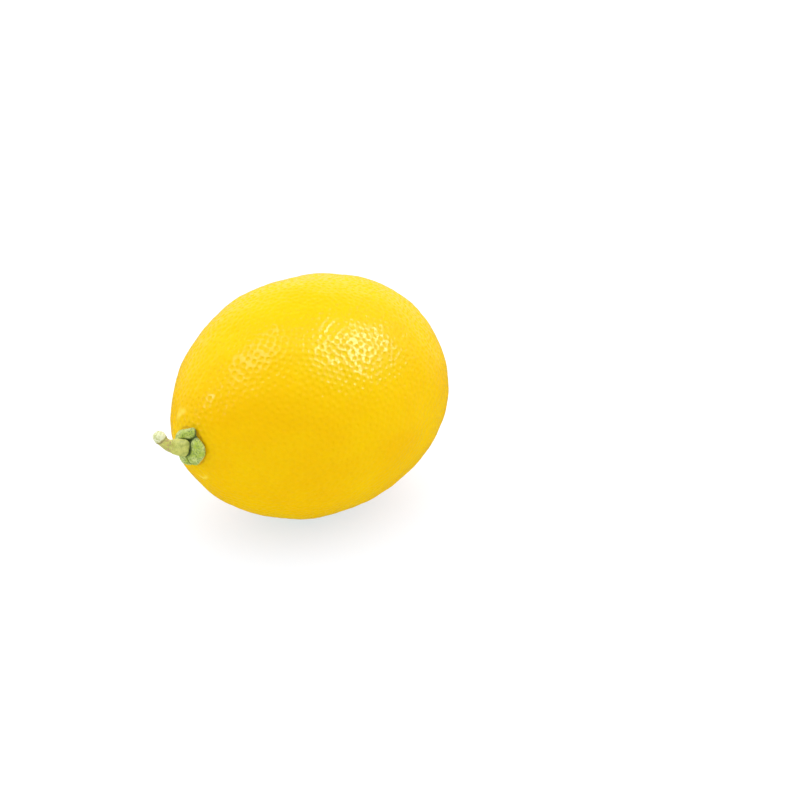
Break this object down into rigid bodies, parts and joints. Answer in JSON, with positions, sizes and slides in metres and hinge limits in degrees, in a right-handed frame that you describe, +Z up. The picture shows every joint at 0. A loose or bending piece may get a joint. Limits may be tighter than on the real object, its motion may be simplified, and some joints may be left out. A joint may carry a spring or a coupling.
{
  "type": "lemon",
  "caption": "Whole ripe lemon lying on its side, with a green fleshy calyx, a short bent cut stem and a blunt nipple at the blossom end.",
  "frame": {"origin": "in the small flat spot the fruit rests on, straight below the middle of its widest ring", "axes": "+Z up; X along the fruit's long axis, with the stem end at -X and the blossom end at +X"},
  "size_m": [0.0918, 0.06, 0.0596],
  "materials": {
    "rind": "waxy citrus peel, semi-gloss, with fine oil-gland pores",
    "calyx": "dusty green plant tissue with darker specks",
    "stem": "yellow-green woody stem with a pale cut end"
  },
  "bodies": {
    "root": {"fruit": "rind", "calyx": "calyx", "stem": "stem"}
  },
  "joints": []
}
